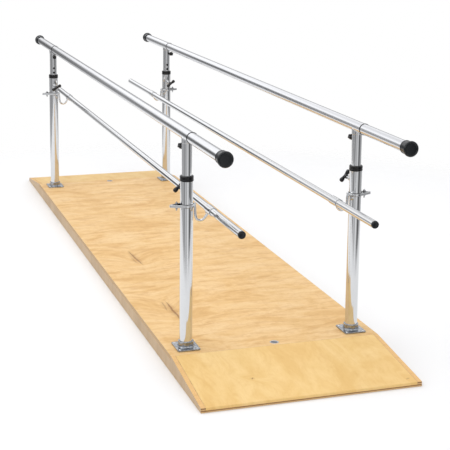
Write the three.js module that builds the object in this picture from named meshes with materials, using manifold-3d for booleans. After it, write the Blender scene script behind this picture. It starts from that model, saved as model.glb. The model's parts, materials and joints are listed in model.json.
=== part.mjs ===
// Physiotherapy parallel bars on a ramped plywood platform.
// Millimetres, +Z up. Origin: middle of the platform's underside. +Y runs along
// the walking lane (far end), +X is the right-hand side of somebody walking to +Y.
//
// Each of the four posts is a telescope: an outer tube in a floor flange, a plastic
// collar, and an inner tube that carries the adult rail. A T-handled index pin locks
// the telescope, a star knob locks the rail's tee in the inner tube, and a teardrop
// clamp strap with a bent rod carries the child rail on the walking side.

import * as THREE from 'three';
import { mergeVertices } from 'three/addons/utils/BufferGeometryUtils.js';
import Module from 'manifold-3d';

const wasm = await Module();
wasm.setup();

// ---------------------------------------------------------------- dimensions
const GAP = 0.3;               // clearance between pieces that touch

const DECK_W = 838;            // platform width
const DECK_L = 2897;           // flat deck length
const DECK_TOP = 65;           // walking surface above the floor
const DECK_T = 15;             // deck panel thickness
const PLATFORM_L = 3657.6;     // toe to toe
const TOE_H = 18;              // blunt height of the ramp toe
const BOARD_T = 18;            // side board thickness
const RAMP_T = 15;             // ramp panel thickness
const NOSING = 23;             // depth of the ramp's floor nosing
const BATTEN_W = 130;          // cross batten under the posts
const BATTEN_MID_W = 90;

const SOCKET_Y = 1418;         // flush sockets for a divider board
const SOCKET_R = 17;
const SOCKET_BORE_R = 13;
const SOCKET_DEPTH = 11.5;

const POST_X = 338.7;          // post axes
const POST_Y = 1371.6;
const FACETS = 16;             // sides of every round tube

const OUTER_R = 24.15;         // outer tube 48.3 x 3
const OUTER_BORE_R = 21.15;
const OUTER_TOP = 707;
const PLATE_X = 88;            // floor flange
const PLATE_Y = 102;
const PLATE_T = 5;
const PLATE_CORNER = 7;
const SCREW_X = 33;
const SCREW_Y = 39;
const SCREW_R = 3.2;
const SOCKET_RING_R = 29.5;
const SOCKET_RING_TOP = 92;

const COLLAR_R = 26;           // black guide collar
const COLLAR_H = 21;
const COLLAR_LINER = 25;

const INNER_R = 19.05;         // inner tube 38.1 x 2.5
const INNER_BORE_R = 16.55;
const INNER_BOTTOM = 185;
const HOLE_TOP_Z = 765.5;      // index holes
const HOLE_PITCH = 25.4;
const HOLE_COUNT = 11;
const HOLE_R = 6;

const PIN_Z = HOLE_TOP_Z - 4 * HOLE_PITCH;   // 663.9
const PIN_R = 5;
const PIN_TIP = 19.5;
const PIN_END = 98;
const BOSS_R = 9;
const BOSS_END = 58;          // spring barrel of the index pin
const HANDLE_HUB_R = 8.5;
const HANDLE_HUB_START = 80;
const HANDLE_Y = 100;          // distance of the T bar from the post axis
const HANDLE_HALF = 29;
// Each T bar's lean from upright towards +X, in degrees, as the pins were last turned.
const HANDLE_TILT = { near_left: 45, near_right: 40, far_left: 60, far_right: 51 };

const RAIL_Z = 879;            // adult rail axis
const RAIL_R = 21.2;           // adult rail 42.4 x 2.5
const RAIL_BORE_R = 18.7;
const RAIL_L = 3657.6;         // over the end caps
const SEAM = 66;               // rail joint, this far to the near side of a post
const SPIGOT_L = 60;
const SPIGOT_R = 18.4;
const SPIGOT_BORE_R = 16.2;
const TEE_NECK_R = 20.4;
const TEE_NECK_BOTTOM = 849.8;
const TEE_STEM_R = 16.2;
const TEE_STEM_BOTTOM = 790;

const CAP_R = 28.5;            // flared rubber end cap
const CAP_L = 45;
const CAP_FACE_T = 8;

const KNOB_Z = 832;
// Each star knob's turn about the post, in degrees, from facing the middle of the bars.
const KNOB_TURN = { near_left: 20, near_right: 12, far_left: 1, far_right: 32 };
const KNOB_HEAD_R = 11.5;
const KNOB_HEAD_START = 31;
const KNOB_HEAD_END = 46;
const KNOB_LOBES = 5;

const CHILD_X = 250.3;         // child rail axis
const CHILD_Z = 593.6;
const CHILD_R = 14.3;          // child rail 28.6 x 2
const CHILD_BORE_R = 12.3;
const CHILD_L = 3657.6;
const CHILD_SHIFT = 80.5;      // the rail sits this far towards the far end
const CHILD_CAP_T = 9;
const CHILD_PLUG_L = 22;

const STRAP_Z0 = 610;          // teardrop clamp strap
const STRAP_Z1 = 620;
const STRAP_R = 29.5;
const STRAP_BORE_R = 24.55;
const STRAP_TIP_X = 59.5;
const STRAP_TIP_R = 5.5;
const STRAP_SLOT_X = 52;
const ROD_R = 5;
const SLEEVE_R = 17;
const SLEEVE_BORE_R = 14.65;
const SLEEVE_NEAR = -50;       // sleeve extent along the rail, from the post axis
const SLEEVE_FAR = 14;

// ------------------------------------------------------------------ materials
const material = (color, roughness, metalness) =>
  new THREE.MeshStandardMaterial({ color, roughness, metalness });
const ply = () => material(0xf0cf98, 0.45, 0);
const ramp = () => material(0xf6dba0, 0.45, 0);
const board = () => material(0xc9a67c, 0.6, 0);
const pine = () => material(0xd9b98a, 0.7, 0);
const chrome = () => material(0xdfe1e3, 0.12, 1);
const zinc = () => material(0xc2c5c7, 0.3, 1);
const rubber = () => material(0x121212, 0.45, 0);
const plastic = () => material(0x17171a, 0.35, 0);

// ------------------------------------------------------------ geometry helpers
// Keeps the position only, merges shared vertices and drops collapsed triangles.
function clean(geometry) {
  const g = geometry.clone();
  for (const name of Object.keys(g.attributes)) if (name !== 'position') g.deleteAttribute(name);
  g.morphAttributes = {};
  const merged = mergeVertices(g, 1e-4);
  const index = merged.index.array;
  const p = merged.attributes.position;
  const keep = [];
  let volume = 0;
  const a = new THREE.Vector3(), b = new THREE.Vector3(), c = new THREE.Vector3();
  for (let i = 0; i < index.length; i += 3) {
    const [u, v, w] = [index[i], index[i + 1], index[i + 2]];
    if (u === v || v === w || w === u) continue;
    keep.push(u, v, w);
    a.fromBufferAttribute(p, u); b.fromBufferAttribute(p, v); c.fromBufferAttribute(p, w);
    volume += a.dot(b.cross(c));
  }
  if (volume < 0) for (let i = 0; i < keep.length; i += 3) [keep[i + 1], keep[i + 2]] = [keep[i + 2], keep[i + 1]];
  const out = new THREE.BufferGeometry();
  out.setAttribute('position', new THREE.BufferAttribute(Float32Array.from(p.array), 3));
  out.setIndex(keep);
  return out;
}

function solid(geometry) {
  const g = clean(geometry);
  return new wasm.Manifold(new wasm.Mesh({
    numProp: 3,
    vertProperties: Float32Array.from(g.attributes.position.array),
    triVerts: Uint32Array.from(g.index.array),
  }));
}

function toGeometry(manifold) {
  const m = manifold.getMesh();
  const g = new THREE.BufferGeometry();
  g.setAttribute('position', new THREE.BufferAttribute(Float32Array.from(m.vertProperties), 3));
  g.setIndex(Array.from(m.triVerts));
  return g;
}

// Solid of revolution about +Z from [radius, height] pairs.
function turned(profile, sides = FACETS, closed = false) {
  const pts = profile.map(([r, z]) => new THREE.Vector2(r, z));
  if (closed) pts.push(pts[0].clone());
  return new THREE.LatheGeometry(pts, sides).rotateX(Math.PI / 2);
}
const rod = (r, z0, z1, sides = FACETS) => turned([[0, z0], [r, z0], [r, z1], [0, z1]], sides);
const pipe = (r, bore, z0, z1, sides = FACETS) =>
  turned([[bore, z0], [r, z0], [r, z1], [bore, z1]], sides, true);

// Lays something turned about +Z along +Y (dir 1) or -Y (dir -1), height becoming distance.
function alongY(geometry, dir = 1) {
  return geometry.rotateX(dir > 0 ? -Math.PI / 2 : Math.PI / 2);
}

// Prism of a (y, z) outline, x0 to x1.
function prismX(outline, x0, x1) {
  const shape = new THREE.Shape(outline.map(([y, z]) => new THREE.Vector2(y, z)));
  const g = new THREE.ExtrudeGeometry(shape, { depth: x1 - x0, bevelEnabled: false });
  const m = new THREE.Matrix4().makeBasis(
    new THREE.Vector3(0, 1, 0), new THREE.Vector3(0, 0, 1), new THREE.Vector3(1, 0, 0));
  return g.applyMatrix4(m).translate(x0, 0, 0);
}

// Prism of an (x, y) outline with optional holes, z0 to z1.
function prismZ(outline, holes, z0, z1) {
  const shape = new THREE.Shape(outline.map(([x, y]) => new THREE.Vector2(x, y)));
  for (const h of holes) shape.holes.push(new THREE.Path(h.map(([x, y]) => new THREE.Vector2(x, y))));
  return new THREE.ExtrudeGeometry(shape, { depth: z1 - z0, bevelEnabled: false }).translate(0, 0, z0);
}

const ring = (r, n, cx = 0, cy = 0, a0 = 0) => Array.from({ length: n }, (_, i) => {
  const a = a0 + (2 * Math.PI * i) / n;
  return [cx + r * Math.cos(a), cy + r * Math.sin(a)];
});

const box = (x0, x1, y0, y1, z0, z1) =>
  new THREE.BoxGeometry(x1 - x0, y1 - y0, z1 - z0).translate((x0 + x1) / 2, (y0 + y1) / 2, (z0 + z1) / 2);

const root = new THREE.Group();
function add(parent, name, geometry, mat, position = [0, 0, 0]) {
  const mesh = new THREE.Mesh(clean(geometry), mat);
  mesh.name = name;
  mesh.position.set(...position);
  parent.add(mesh);
  return mesh;
}

// -------------------------------------------------------------------- platform
const platform = new THREE.Group();
root.add(platform);
const HW = DECK_W / 2, HL = DECK_L / 2, HP = PLATFORM_L / 2;
const DECK_UNDER = DECK_TOP - DECK_T;
const INSIDE_X = HW - BOARD_T - GAP;

const roundedHole = (y) => ring(SOCKET_R + GAP, FACETS, 0, y).reverse();
add(platform, 'deck_panel',
  prismZ([[-HW, -HL], [HW, -HL], [HW, HL], [-HW, HL]],
    [roundedHole(-SOCKET_Y), roundedHole(SOCKET_Y)], DECK_UNDER, DECK_TOP), ply());

const cup = () => turned([
  [0, DECK_UNDER + GAP], [SOCKET_R, DECK_UNDER + GAP], [SOCKET_R, DECK_TOP],
  [SOCKET_BORE_R, DECK_TOP], [SOCKET_BORE_R, DECK_TOP - SOCKET_DEPTH], [0, DECK_TOP - SOCKET_DEPTH]]);
add(platform, 'board_socket_near', cup(), zinc(), [0, -SOCKET_Y, 0]);
add(platform, 'board_socket_far', cup(), zinc(), [0, SOCKET_Y, 0]);

const edgeY = HL + GAP;
const boardOutline = [
  [-HP, 0], [HP, 0], [HP, TOE_H], [edgeY, DECK_TOP], [edgeY, DECK_UNDER - GAP],
  [-edgeY, DECK_UNDER - GAP], [-edgeY, DECK_TOP], [-HP, TOE_H]];
add(platform, 'side_board_left', prismX(boardOutline, -HW, -HW + BOARD_T), board());
add(platform, 'side_board_right', prismX(boardOutline, HW - BOARD_T, HW), board());

const slope = (DECK_TOP - TOE_H) / (HP - edgeY);
const rampTop = (y) => TOE_H + slope * (HP - y);
const nose = HP - NOSING;
const rampOutline = (s) => {
  const pts = [[edgeY, DECK_TOP], [HP, TOE_H], [HP, 0], [nose, 0], [nose, rampTop(nose) - RAMP_T],
    [edgeY, DECK_TOP - RAMP_T]].map(([y, z]) => [s * y, z]);
  return s > 0 ? pts.reverse() : pts;
};
add(platform, 'ramp_near', prismX(rampOutline(-1), -INSIDE_X, INSIDE_X), ramp());
add(platform, 'ramp_far', prismX(rampOutline(1), -INSIDE_X, INSIDE_X), ramp());

const batten = (w) => box(-INSIDE_X, INSIDE_X, -w / 2, w / 2, 0, DECK_UNDER - GAP);
add(platform, 'batten_near', batten(BATTEN_W), pine(), [0, -POST_Y, 0]);
add(platform, 'batten_mid', batten(BATTEN_MID_W), pine());
add(platform, 'batten_far', batten(BATTEN_W), pine(), [0, POST_Y, 0]);

// ----------------------------------------------------------------- adult rails
// Tee: a neck below the rail and a stem that drops into the inner tube.
function withTee(railGeometry, postY) {
  const neck = solid(rod(TEE_NECK_R, TEE_NECK_BOTTOM - RAIL_Z, 0).translate(0, postY, 0));
  const stem = solid(rod(TEE_STEM_R, TEE_STEM_BOTTOM - RAIL_Z, TEE_NECK_BOTTOM - RAIL_Z + 0.5).translate(0, postY, 0));
  const bore = solid(alongY(rod(RAIL_BORE_R + 0.6, postY - 40, postY + 40)));
  return toGeometry(solid(railGeometry).add(neck.add(stem).subtract(bore)));
}
// Rail section whose near end is swaged to slip into the next section.
const swaged = (y0, y1) => alongY(turned([
  [SPIGOT_BORE_R, y0 - SPIGOT_L], [SPIGOT_R, y0 - SPIGOT_L], [SPIGOT_R, y0], [RAIL_R, y0],
  [RAIL_R, y1], [RAIL_BORE_R, y1], [RAIL_BORE_R, y0 + 30], [SPIGOT_BORE_R, y0 + 30]], FACETS, true));

const railEnd = RAIL_L / 2 - CAP_FACE_T - GAP;
const seamNear = -POST_Y - SEAM, seamFar = POST_Y - SEAM;
const capProfile = [
  [0, 0], [CAP_R - 2.5, 0], [CAP_R, 2.5], [CAP_R, 9.5], [CAP_R - 1.6, 11], [24.2, CAP_L - 4], [23.4, CAP_L],
  [RAIL_R + GAP, CAP_L], [RAIL_R + GAP, CAP_FACE_T], [0, CAP_FACE_T]];

for (const [side, sx] of [['left', -1], ['right', 1]]) {
  const g = new THREE.Group();
  g.position.set(sx * POST_X, 0, RAIL_Z);
  root.add(g);
  add(g, `adult_rail_${side}_near`,
    alongY(pipe(RAIL_R, RAIL_BORE_R, -railEnd, seamNear - 0.5)), chrome());
  add(g, `adult_rail_${side}_mid`, withTee(swaged(seamNear, seamFar - 0.5), -POST_Y), chrome());
  add(g, `adult_rail_${side}_far`, withTee(swaged(seamFar, railEnd), POST_Y), chrome());
  // The cap profile runs from the face inwards, so each cap points back along the rail.
  add(g, `adult_cap_${side}_near`, alongY(turned(capProfile)), rubber(), [0, -RAIL_L / 2, 0]);
  add(g, `adult_cap_${side}_far`, alongY(turned(capProfile), -1), rubber(), [0, RAIL_L / 2, 0]);
}

// ----------------------------------------------------------------- child rails
const childCapProfile = [
  [0, 0], [CHILD_R - 3.5, 0], [CHILD_R - 1, 1.2], [CHILD_R, 3.6], [CHILD_R, CHILD_CAP_T],
  [CHILD_BORE_R - GAP, CHILD_CAP_T], [CHILD_BORE_R - GAP, CHILD_CAP_T + CHILD_PLUG_L], [0, CHILD_CAP_T + CHILD_PLUG_L]];
for (const [side, sx] of [['left', -1], ['right', 1]]) {
  const g = new THREE.Group();
  g.position.set(sx * CHILD_X, CHILD_SHIFT, CHILD_Z);
  root.add(g);
  const end = CHILD_L / 2 - CHILD_CAP_T - GAP;
  add(g, `child_rail_${side}`, alongY(pipe(CHILD_R, CHILD_BORE_R, -end, end)), chrome());
  add(g, `child_cap_${side}_near`, alongY(turned(childCapProfile)), rubber(), [0, -CHILD_L / 2, 0]);
  add(g, `child_cap_${side}_far`, alongY(turned(childCapProfile), -1), rubber(), [0, CHILD_L / 2, 0]);
}

// ----------------------------------------------------------------------- posts
const rounded = (w, h, r) => {
  const pts = [];
  for (const [cx, cy, a0] of [[w / 2 - r, h / 2 - r, 0], [-w / 2 + r, h / 2 - r, 90], [-w / 2 + r, -h / 2 + r, 180], [w / 2 - r, -h / 2 + r, 270]])
    for (const a of [0, 45, 90]) {
      const t = ((a0 + a) * Math.PI) / 180;
      pts.push([cx + r * Math.cos(t), cy + r * Math.sin(t)]);
    }
  return pts;
};

function flange() {
  const z0 = DECK_TOP + GAP;
  const holes = [[1, 1], [-1, 1], [-1, -1], [1, -1]].map(([a, b]) =>
    ring(SCREW_R, 6, a * SCREW_X, b * SCREW_Y).reverse());
  const plate = solid(prismZ(rounded(PLATE_X, PLATE_Y, PLATE_CORNER), holes, z0, z0 + PLATE_T));
  const collar = solid(turned([
    [OUTER_R + GAP, z0 + 2], [SOCKET_RING_R, z0 + 2], [SOCKET_RING_R, SOCKET_RING_TOP - 2],
    [SOCKET_RING_R - 2, SOCKET_RING_TOP], [OUTER_R + GAP, SOCKET_RING_TOP]], FACETS, true));
  return toGeometry(plate.add(collar));
}

function outerTube(dir) {
  const bottom = DECK_TOP + GAP + PLATE_T + GAP;
  const tube = solid(pipe(OUTER_R, OUTER_BORE_R, bottom, OUTER_TOP));
  const boss = solid(alongY(rod(BOSS_R, 21.4, BOSS_END, 12), dir).translate(0, 0, PIN_Z));
  const bore = solid(alongY(rod(PIN_R + 0.5, 10, BOSS_END + 5, 10), dir).translate(0, 0, PIN_Z));
  return toGeometry(tube.add(boss).subtract(bore));
}

const collarProfile = [
  [INNER_R + GAP, OUTER_TOP - COLLAR_LINER], [OUTER_BORE_R - GAP, OUTER_TOP - COLLAR_LINER],
  [OUTER_BORE_R - GAP, OUTER_TOP + GAP], [COLLAR_R - 0.8, OUTER_TOP + GAP], [COLLAR_R, OUTER_TOP + 2.3],
  [COLLAR_R, OUTER_TOP + COLLAR_H - 2.5], [COLLAR_R - 2.5, OUTER_TOP + COLLAR_H], [INNER_R + GAP, OUTER_TOP + COLLAR_H]];

function innerTube(dir, turn) {
  let tube = solid(pipe(INNER_R, INNER_BORE_R, INNER_BOTTOM, TEE_NECK_BOTTOM - GAP));
  for (let i = 0; i < HOLE_COUNT; i++)
    tube = tube.subtract(solid(alongY(rod(HOLE_R, 8, 30, 6), dir).translate(0, 0, HOLE_TOP_Z - i * HOLE_PITCH)));
  tube = tube.subtract(solid(alongY(rod(4, 8, 30, 6), dir).rotateZ(turn).translate(0, 0, KNOB_Z)));
  return toGeometry(tube);
}

function knob(dir, turn) {
  const screw = solid(alongY(rod(3, TEE_STEM_R + 0.35, KNOB_HEAD_START + 4, 8), dir));
  const neck = solid(alongY(rod(6.5, INNER_R + 0.6, KNOB_HEAD_START + 3, 10), dir));
  const star = [];
  for (let i = 0; i < KNOB_LOBES; i++) for (const [f, r] of [[-0.3, 0.93], [0, 1], [0.3, 0.93], [0.5, 0.76]]) {
    const a = ((i + f) * 2 * Math.PI) / KNOB_LOBES + Math.PI / 2;
    star.push([KNOB_HEAD_R * r * Math.cos(a), KNOB_HEAD_R * r * Math.sin(a)]);
  }
  const head = solid(alongY(prismZ(star, [], KNOB_HEAD_START, KNOB_HEAD_END), dir));
  return toGeometry(screw.add(neck).add(head)).rotateZ(turn);
}

const pin = (dir) => alongY(turned([
  [0, PIN_TIP], [PIN_R - 1.2, PIN_TIP], [PIN_R, PIN_TIP + 1.6], [PIN_R, PIN_END], [0, PIN_END]], 10), dir);

function tHandle(dir, tilt) {
  const L = HANDLE_HALF;
  const bar = turned([[0, -L], [4.2, -L + 0.6], [7, -L + 4], [7.6, -L + 10], [6.4, -L + 19], [6.0, 0],
    [6.4, L - 19], [7.6, L - 10], [7, L - 4], [4.2, L - 0.6], [0, L]], 10)
    .rotateY(tilt).translate(0, dir * HANDLE_Y, 0);
  const hub = solid(alongY(rod(HANDLE_HUB_R, HANDLE_HUB_START, HANDLE_Y, 12), dir));
  const bore = solid(alongY(rod(PIN_R + 0.5, HANDLE_HUB_START - 5, PIN_END + 0.4, 10), dir));
  return toGeometry(hub.add(solid(bar)).subtract(bore));
}

// Strap, bent rod and rail sleeve, welded into one piece. inward is the walking side.
function childBracket(inward) {
  const outer = [], inner = [];
  const phi = Math.acos((STRAP_R - STRAP_TIP_R) / STRAP_TIP_X);
  for (let k = 0; k <= 10; k++) {
    const a = phi + (k / 10) * (2 * Math.PI - 2 * phi);
    outer.push([STRAP_R * Math.cos(a), STRAP_R * Math.sin(a)]);
  }
  for (let k = 0; k <= 4; k++) {
    const a = -phi + (k / 4) * 2 * phi;
    outer.push([STRAP_TIP_X + STRAP_TIP_R * Math.cos(a), STRAP_TIP_R * Math.sin(a)]);
  }
  for (let k = 3; k <= 13; k++) {
    const a = (k * Math.PI) / 8;
    inner.push([STRAP_BORE_R * Math.cos(a), STRAP_BORE_R * Math.sin(a)]);
  }
  inner.push([STRAP_SLOT_X, -1.8], [STRAP_SLOT_X, 1.8]);
  // The ear points away from the walking side.
  const turn = inward > 0 ? Math.PI : 0;
  let body = solid(prismZ(outer, [inner.reverse()], STRAP_Z0, STRAP_Z1).rotateZ(turn));
  const offset = POST_X - CHILD_X;
  const path = new THREE.CatmullRomCurve3([
    [32.2, 619], [32.6, 600], [33.6, 578], [38.5, 562], [50, 554], [63, 556], [73, 566], [79.5, 577], [84.5, 583.5],
  ].map(([x, z]) => new THREE.Vector3(inward * x, 0, z)));
  const section = new THREE.Shape(ring(ROD_R, 8, 0, 0, Math.PI / 8).map(([x, y]) => new THREE.Vector2(x, y)));
  const bent = new THREE.ExtrudeGeometry(section, { steps: 16, bevelEnabled: false, extrudePath: path });
  const sleeve = solid(alongY(rod(SLEEVE_R, SLEEVE_NEAR, SLEEVE_FAR)).translate(inward * offset, 0, CHILD_Z));
  const bore = solid(alongY(rod(SLEEVE_BORE_R, SLEEVE_NEAR - 5, SLEEVE_FAR + 5)).translate(inward * offset, 0, CHILD_Z));
  return toGeometry(body.add(solid(bent)).add(sleeve).subtract(bore));
}

for (const [corner, sx, sy] of [['near_left', -1, -1], ['near_right', 1, -1], ['far_left', -1, 1], ['far_right', 1, 1]]) {
  const post = new THREE.Group();
  post.position.set(sx * POST_X, sy * POST_Y, 0);
  root.add(post);
  const dir = -sy;     // pins, knobs and index holes face the middle of the bars
  const turn = (KNOB_TURN[corner] * Math.PI) / 180;
  const tilt = (HANDLE_TILT[corner] * Math.PI) / 180;
  add(post, `base_flange_${corner}`, flange(), zinc());
  add(post, `outer_tube_${corner}`, outerTube(dir), chrome());
  add(post, `post_collar_${corner}`, turned(collarProfile, FACETS, true), plastic());
  add(post, `inner_tube_${corner}`, innerTube(dir, turn), chrome());
  add(post, `rail_knob_${corner}`, knob(dir, turn), plastic(), [0, 0, KNOB_Z]);
  add(post, `lock_pin_${corner}`, pin(dir), zinc(), [0, 0, PIN_Z]);
  add(post, `t_handle_${corner}`, tHandle(dir, tilt), plastic(), [0, 0, PIN_Z]);
  add(post, `child_bracket_${corner}`, childBracket(-sx), chrome());
}

export default root;
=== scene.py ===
import bpy
import bmesh
import json
import math
from math import sin, cos, pi, radians
from mathutils import Vector, Matrix
from mathutils.bvhtree import BVHTree

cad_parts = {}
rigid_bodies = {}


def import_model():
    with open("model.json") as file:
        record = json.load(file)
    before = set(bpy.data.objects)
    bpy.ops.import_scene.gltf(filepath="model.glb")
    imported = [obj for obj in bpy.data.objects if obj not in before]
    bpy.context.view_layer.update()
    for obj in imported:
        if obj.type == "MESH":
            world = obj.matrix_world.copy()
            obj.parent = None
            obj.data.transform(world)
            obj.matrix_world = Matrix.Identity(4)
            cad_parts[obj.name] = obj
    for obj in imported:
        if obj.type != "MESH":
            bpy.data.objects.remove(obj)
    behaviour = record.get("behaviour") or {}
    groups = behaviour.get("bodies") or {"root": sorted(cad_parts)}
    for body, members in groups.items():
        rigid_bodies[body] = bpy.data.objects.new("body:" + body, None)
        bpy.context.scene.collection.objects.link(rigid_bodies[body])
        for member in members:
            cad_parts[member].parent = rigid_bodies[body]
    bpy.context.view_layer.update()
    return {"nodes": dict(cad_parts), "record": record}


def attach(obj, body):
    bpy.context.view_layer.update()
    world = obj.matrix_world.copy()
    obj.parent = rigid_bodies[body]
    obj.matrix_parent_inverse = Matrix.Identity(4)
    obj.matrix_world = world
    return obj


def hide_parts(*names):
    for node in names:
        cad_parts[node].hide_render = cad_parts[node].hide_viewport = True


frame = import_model()
MM = 0.001

# =============================================================================
# Dimensions, in millimetres, the same as the CAD's
# =============================================================================
POST_X, POST_Y = 338.7, 1371.6
DECK_W, DECK_L, DECK_TOP, DECK_T = 838.0, 2897.0, 65.0, 15.0
PLATFORM_L, TOE_H, BOARD_T, RAMP_T, NOSING = 3657.6, 18.0, 18.0, 15.0, 23.0
SOCKET_Y, SOCKET_R, SOCKET_BORE_R, SOCKET_DEPTH = 1418.0, 17.0, 13.0, 11.5
OUTER_R, OUTER_BORE_R, OUTER_TOP = 24.15, 21.15, 707.0
INNER_R, INNER_BORE_R, INNER_BOTTOM = 19.05, 16.55, 185.0
HOLE_TOP_Z, HOLE_PITCH, HOLE_COUNT, HOLE_R = 765.5, 25.4, 11, 6.0
PIN_Z, PIN_R, PIN_TIP, PIN_END, BOSS_R, BOSS_END = 663.9, 5.0, 19.5, 98.0, 9.0, 58.0
HUB_R, HUB_START, HANDLE_Y, HANDLE_HALF = 8.5, 80.0, 100.0, 29.0
HANDLE_TILT = {"near_left": 45, "near_right": 40, "far_left": 60, "far_right": 51}
RAIL_Z, RAIL_R, RAIL_BORE_R, RAIL_L, SEAM = 879.0, 21.2, 18.7, 3657.6, 66.0
NECK_R, NECK_BOTTOM = 20.4, 849.8
CAP_R, CAP_L, CAP_FACE_T = 28.5, 45.0, 8.0
KNOB_Z, KNOB_R, KNOB_START, KNOB_END = 832.0, 11.5, 31.0, 46.0
KNOB_TURN = {"near_left": 20, "near_right": 12, "far_left": 1, "far_right": 32}
CHILD_X, CHILD_Z, CHILD_R, CHILD_BORE_R, CHILD_L, CHILD_SHIFT = 250.3, 593.6, 14.3, 12.3, 3657.6, 80.5
CHILD_CAP_T = 9.0
STRAP_Z0, STRAP_Z1, STRAP_R, STRAP_BORE_R, STRAP_TIP_X, STRAP_TIP_R = 610.0, 620.0, 29.5, 24.55, 59.5, 5.5
SLEEVE_R, SLEEVE_BORE_R, SLEEVE_NEAR, SLEEVE_FAR = 17.0, 14.65, -50.0, 14.0
CORNERS = (("near_left", -1, -1), ("near_right", 1, -1), ("far_left", -1, 1), ("far_right", 1, 1))
ROOT = "platform_and_posts"


# =============================================================================
# Materials (procedural, in object space, which is the row frame)
# =============================================================================
def lin(r, g, b):
    def f(c):
        c /= 255.0
        return c / 12.92 if c <= 0.04045 else ((c + 0.055) / 1.055) ** 2.4
    return (f(r), f(g), f(b), 1.0)


class Nodes:
    """Short ways to add shader nodes."""

    def __init__(self, name):
        self.mat = bpy.data.materials.new(name)
        self.mat.use_nodes = True
        self.t = self.mat.node_tree
        self.t.nodes.clear()
        self.out = self.t.nodes.new("ShaderNodeOutputMaterial")
        self.bsdf = self.t.nodes.new("ShaderNodeBsdfPrincipled")
        self.t.links.new(self.bsdf.outputs[0], self.out.inputs[0])
        self.coord = self.t.nodes.new("ShaderNodeTexCoord").outputs["Object"]

    def new(self, kind, **props):
        n = self.t.nodes.new(kind)
        for k, v in props.items():
            setattr(n, k, v)
        return n

    def put(self, node, socket, value):
        s = node.inputs[socket]
        if isinstance(value, bpy.types.NodeSocket):
            self.t.links.new(value, s)
        else:
            s.default_value = value
        return node

    def math(self, op, a, b=None, c=None, clamp=False):
        n = self.new("ShaderNodeMath", operation=op, use_clamp=clamp)
        for i, v in enumerate((a, b, c)):
            if v is not None:
                self.put(n, i, v)
        return n.outputs[0]

    def mapped(self, scale=(1, 1, 1), loc=(0, 0, 0), rot=(0, 0, 0), coord=None):
        n = self.new("ShaderNodeMapping")
        self.t.links.new(coord or self.coord, n.inputs["Vector"])
        n.inputs["Scale"].default_value = scale
        n.inputs["Location"].default_value = loc
        n.inputs["Rotation"].default_value = rot
        return n.outputs[0]

    def noise(self, vec, scale=1.0, detail=4.0, rough=0.5, distortion=0.0, lac=2.0):
        n = self.new("ShaderNodeTexNoise")
        self.t.links.new(vec, n.inputs["Vector"])
        n.inputs["Scale"].default_value = scale
        n.inputs["Detail"].default_value = detail
        n.inputs["Roughness"].default_value = rough
        n.inputs["Lacunarity"].default_value = lac
        n.inputs["Distortion"].default_value = distortion
        return n.outputs["Fac"]

    def ramp(self, fac, stops, interp="LINEAR"):
        n = self.new("ShaderNodeValToRGB")
        n.color_ramp.interpolation = interp
        el = n.color_ramp.elements
        while len(el) < len(stops):
            el.new(0.5)
        for e, (p, c) in zip(el, stops):
            e.position = p
            e.color = c if len(c) == 4 else (*c, 1)
        self.t.links.new(fac, n.inputs[0])
        return n.outputs[0]

    def rng(self, v, a0, a1, b0, b1, smooth=False):
        n = self.new("ShaderNodeMapRange")
        n.interpolation_type = "SMOOTHSTEP" if smooth else "LINEAR"
        n.clamp = True
        self.put(n, "Value", v)
        for k, x in (("From Min", a0), ("From Max", a1), ("To Min", b0), ("To Max", b1)):
            n.inputs[k].default_value = x
        return n.outputs[0]

    def mix(self, fac, a, b, blend="MIX"):
        n = self.new("ShaderNodeMix", data_type="RGBA", blend_type=blend)
        self.put(n, 0, fac)
        self.put(n, 6, a)
        self.put(n, 7, b)
        return n.outputs[2]

    def xyz(self, vec=None):
        n = self.new("ShaderNodeSeparateXYZ")
        self.t.links.new(vec or self.coord, n.inputs[0])
        return n.outputs

    def combine(self, x, y, z):
        n = self.new("ShaderNodeCombineXYZ")
        for i, v in enumerate((x, y, z)):
            self.put(n, i, v)
        return n.outputs[0]

    def bump(self, height, strength, distance):
        n = self.new("ShaderNodeBump")
        n.inputs["Strength"].default_value = strength
        n.inputs["Distance"].default_value = distance
        self.t.links.new(height, n.inputs["Height"])
        self.t.links.new(n.outputs[0], self.bsdf.inputs["Normal"])

    def set(self, **kw):
        for k, v in kw.items():
            self.put(self.bsdf, k.replace("_", " "), v)


def chrome(name, tint, rough_lo, rough_hi):
    n = Nodes(name)
    fine = n.noise(n.mapped((1, 1, 1)), 260.0, 3, 0.6)
    smear = n.noise(n.mapped((1, 0.25, 0.6)), 26.0, 4, 0.6, 0.4)
    r = n.math("MULTIPLY_ADD", smear, rough_hi - rough_lo, rough_lo)
    n.set(Base_Color=n.mix(n.rng(smear, 0.35, 0.75, 0.0, 1.0), tint, tuple(c * 0.965 for c in tint[:3]) + (1,)),
          Metallic=1.0, Roughness=n.math("MULTIPLY_ADD", n.rng(fine, 0.62, 0.8, 0, 1), 0.03, r))
    n.bump(n.noise(n.mapped((1, 1, 1)), 9.0, 1, 0.4), 0.06, 0.0006)
    return n.mat


def zinc(name):
    n = Nodes(name)
    vor = n.new("ShaderNodeTexVoronoi")
    vor.inputs["Scale"].default_value = 150.0
    n.t.links.new(n.coord, vor.inputs["Vector"])
    blot = n.noise(n.coord, 55.0, 5, 0.6)
    spang = n.xyz(vor.outputs["Color"])[0]
    col = n.mix(n.rng(spang, 0.2, 0.9, 0, 1), lin(140, 144, 149), lin(172, 175, 179))
    col = n.mix(n.rng(blot, 0.50, 0.72, 0, 0.55), col, lin(92, 97, 104))
    n.set(Base_Color=col, Metallic=1.0, Roughness=n.math("MULTIPLY_ADD", blot, 0.16, 0.09))
    n.bump(n.noise(n.coord, 420.0, 3, 0.6), 0.10, 0.0003)
    return n.mat


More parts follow.
